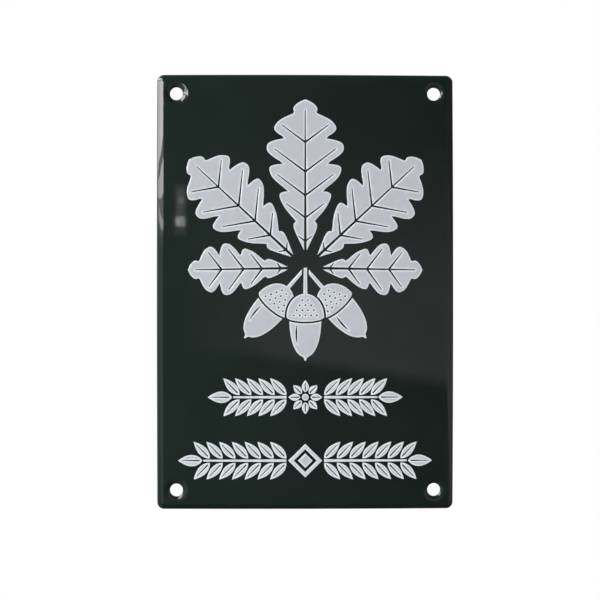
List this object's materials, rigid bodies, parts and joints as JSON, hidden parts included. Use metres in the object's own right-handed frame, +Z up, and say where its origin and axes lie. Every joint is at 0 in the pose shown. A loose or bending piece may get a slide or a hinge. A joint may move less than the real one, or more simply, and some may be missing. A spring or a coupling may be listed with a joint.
{
  "type": "enamelled sign plate",
  "caption": "Domed enamelled steel sign plate with rolled edges, dished corner holes, a dark green face and a white oak spray over two leafy ornament rows.",
  "frame": {"origin": "middle of the hole pattern, in the plane of the flat rear rim that lies on the wall", "axes": "+X to the right as seen from the front, +Y back into the wall, +Z up; the face looks along -Y"},
  "size_m": [0.15, 0.0101, 0.22],
  "materials": {
    "sheet_steel": "pressed low-carbon enamelling steel",
    "ground_enamel": "fired blue-black ground enamel, glossy with fine specks",
    "green_enamel": "fired dark green cover enamel, high gloss with a slight ripple",
    "white_enamel": "fired white enamel, gloss, cool white with lighter built-up rims"
  },
  "bodies": {
    "root": {"steel_plate": "sheet_steel", "front_ground_coat": "ground_enamel", "back_ground_coat": "ground_enamel", "green_cover_coat": "green_enamel", "white_leaves": "white_enamel", "white_acorns": "white_enamel", "white_upper_row": "white_enamel", "white_lower_row": "white_enamel"}
  },
  "joints": []
}
